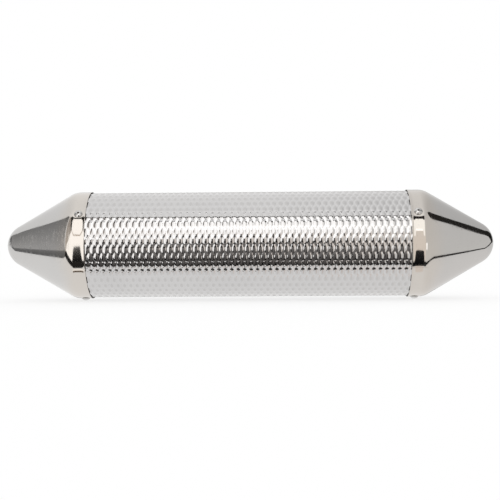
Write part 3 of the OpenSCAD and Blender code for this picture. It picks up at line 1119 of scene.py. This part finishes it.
def tent_colour(tree):
    """The tent is darker high at both sides and to the right, and brightest high over the front."""
    across, forwards, upwards = split_vector(tree, object_point(tree))
    rise = upwards.span(-0.5, 0.4)
    left = mix_colour(tree, rise, (0.93, 0.925, 0.92), (0.86, 0.857, 0.853))
    middle = mix_colour(tree, rise, (0.93, 0.925, 0.92), (0.98, 0.975, 0.97))
    right = mix_colour(tree, rise, (0.85, 0.83, 0.815), (0.62, 0.613, 0.608))
    left_half = mix_colour(tree, across.span(-0.60, -0.15), left, middle)
    whole = mix_colour(tree, across.span(0.0, 0.55), left_half, right)
    over_front = forwards.span(-0.42, -0.12, 1.0, 0.0) * upwards.span(0.55, 0.68) * 0.8
    return mix_colour(tree, over_front * across.span(0.1, 0.4, 1.0, 0.0), whole, (1.16, 1.15, 1.14))


def place_on_dome(seen_from, azimuth, elevation, radius):
    """Where a sight line from a place on the axis meets the dome round the middle. Azimuth 0 is the
    front, and it grows to the right."""
    a, e = math.radians(azimuth), math.radians(elevation)
    ray = Vector((math.sin(a) * math.cos(e), -math.cos(a) * math.cos(e), math.sin(e)))
    eye = Vector((seen_from, 0.0, 0.0))
    along = eye.dot(ray)
    return eye + ray * (math.sqrt(along ** 2 - eye.length_squared + radius ** 2) - along)


def place_for_metal(name, data):
    """Places a light that only the metal sees."""
    piece = place_in_scene(name, data)
    for ray in ("camera", "diffuse", "shadow", "transmission", "volume_scatter"):
        setattr(piece, f"visible_{ray}", False)
    return piece


def build_card(name, radius):
    """A card of the studio, cut to its outline on the dome round the object."""
    seen_from, colours, outline = CARDS[name]
    points = []
    for (a0, e0), (a1, e1) in zip(outline, outline[1:] + outline[:1]):
        steps = max(1, round(math.hypot(a1 - a0, e1 - e0) / CARD_STEP))
        points += [Vector((a0 + (a1 - a0) * i / steps, e0 + (e1 - e0) * i / steps))
                   for i in range(steps)]
    border = list(range(len(points)))
    columns, rows = (range(math.ceil(min(angles) / CARD_STEP), math.ceil(max(angles) / CARD_STEP))
                     for angles in zip(*outline))
    points += [Vector((i * CARD_STEP + 0.01, j * CARD_STEP + 0.01)) for i in columns for j in rows]
    places, _, faces, _, _, _ = geometry.delaunay_2d_cdt(points, [], [border], 1, 1e-5)
    data = bpy.data.meshes.new(name)
    data.from_pydata([place_on_dome(seen_from, p.x, p.y, radius) for p in places], [], faces)
    heights = [vertex.co.z for vertex in data.vertices]
    data.materials.append(emission_material(
        name, rising_colour(colours[0], colours[-1], min(heights), max(heights))))
    return place_for_metal(name, data)


def build_tent(radius):
    mesh = bmesh.new()
    bmesh.ops.create_icosphere(mesh, subdivisions=5, radius=radius)
    data = bpy.data.meshes.new("light_tent")
    mesh.to_mesh(data)
    mesh.free()
    data.materials.append(emission_material("light_tent", tent_colour))
    return place_for_metal("light_tent", data)


def build_floor(width, shadow_fade):
    """The pale floor just under the object. Its shadow is faded for the camera only."""
    half, level = width / 2, CAD_BOX[0].z - 0.02 * MM
    data = bpy.data.meshes.new("pale_floor")
    data.from_pydata([(-half, -half, level), (half, -half, level), (half, half, level),
                      (-half, half, level)], [], [(0, 1, 2, 3)])
    paint = bpy.data.materials.new("pale_floor")
    paint.use_nodes = True
    tree = paint.node_tree
    shader = tree.nodes["Principled BSDF"]
    shader.inputs["Base Color"].default_value = (1.0, 1.0, 1.0, 1.0)
    shader.inputs["Roughness"].default_value = 1.0
    shader.inputs["Specular IOR Level"].default_value = 0.0
    glow = add_node(tree, "ShaderNodeEmission", {"Color": (1.0, 1.0, 1.0, 1.0)})
    seen = Field(tree, add_node(tree, "ShaderNodeLightPath").outputs["Is Camera Ray"])
    faint = add_node(tree, "ShaderNodeMixShader", {
        0: seen * shadow_fade, 1: shader.outputs[0], 2: glow.outputs[0]})
    feed(tree, tree.nodes["Material Output"].inputs["Surface"], faint.outputs[0])
    data.materials.append(paint)
    floor = place_in_scene("pale_floor", data)
    floor.visible_glossy = False
    return floor


class SHAKER_OT_stage(Operator):
    """Sets the camera, the pale floor, the light tent and the studio's cards"""
    bl_idname = "shaker.stage"
    bl_label = "Stage"

    def execute(self, context):
        studio, scene = context.scene.shaker_studio, context.scene

        camera_data = bpy.data.cameras.new("studio_camera")
        camera_data.sensor_width = 36.0
        camera_data.lens = studio.lens
        camera_data.clip_start, camera_data.clip_end = 0.01, 200.0
        camera_data.shift_x, camera_data.shift_y = CAMERA_SHIFT
        camera = place_in_scene("studio_camera", camera_data)
        camera.location = (studio.distance * math.sin(studio.turn),
                           -studio.distance * math.cos(studio.turn), 0.0)
        camera.rotation_euler = (QUARTER_TURN, studio.roll, studio.turn)
        scene.camera = camera

        world = bpy.data.worlds.new("white_studio")
        world.use_nodes = True
        sky = world.node_tree.nodes["Background"]
        sky.inputs["Color"].default_value = (1.0, 1.0, 1.0, 1.0)
        sky.inputs["Strength"].default_value = studio.world
        scene.world = world
        scene.view_settings.view_transform = "Standard"

        build_floor(studio.floor, studio.shadow_fade)
        build_tent(studio.dome)
        for depth, name in enumerate(CARDS):
            build_card(name, studio.dome - TENT_GAP - CARD_GAP * depth)
        return {"FINISHED"}


class SHAKER_PT_panel(Panel):
    bl_idname = "SHAKER_PT_panel"
    bl_label = "Guiro shaker"
    bl_space_type = "VIEW_3D"
    bl_region_type = "UI"
    bl_category = "Shaker"

    def draw(self, context):
        layout, scene = self.layout, context.scene
        for operator, group in PARTS:
            box = layout.box()
            box.operator(operator.bl_idname)
            if group:
                for name in GROUPS[group].__annotations__:
                    box.prop(getattr(scene, group), name)


PARTS = ((SHAKER_OT_stage, "shaker_studio"), (SHAKER_OT_tube, "shaker_tube"),
         (SHAKER_OT_caps, "shaker_caps"), (SHAKER_OT_rivets, "shaker_rivets"),
         (SHAKER_OT_mandrels, None), (SHAKER_OT_shot, "shaker_finishes"))
GROUPS = {"shaker_tube": TubeSizes, "shaker_caps": CapSizes, "shaker_rivets": RivetSizes,
          "shaker_finishes": Finishes, "shaker_studio": Studio}
CLASSES = (*GROUPS.values(), *(operator for operator, _ in PARTS), SHAKER_PT_panel)


def register():
    for one in CLASSES:
        bpy.utils.register_class(one)
    for name, group in GROUPS.items():
        setattr(bpy.types.Scene, name, PointerProperty(type=group))


def unregister():
    for name in GROUPS:
        delattr(bpy.types.Scene, name)
    for one in reversed(CLASSES):
        bpy.utils.unregister_class(one)


def main():
    register()
    bpy.ops.shaker.stage()
    bpy.ops.shaker.tube()
    bpy.ops.shaker.caps()
    bpy.ops.shaker.rivets()
    bpy.ops.shaker.mandrels()
    bpy.ops.shaker.shot()


if __name__ == "__main__":
    main()
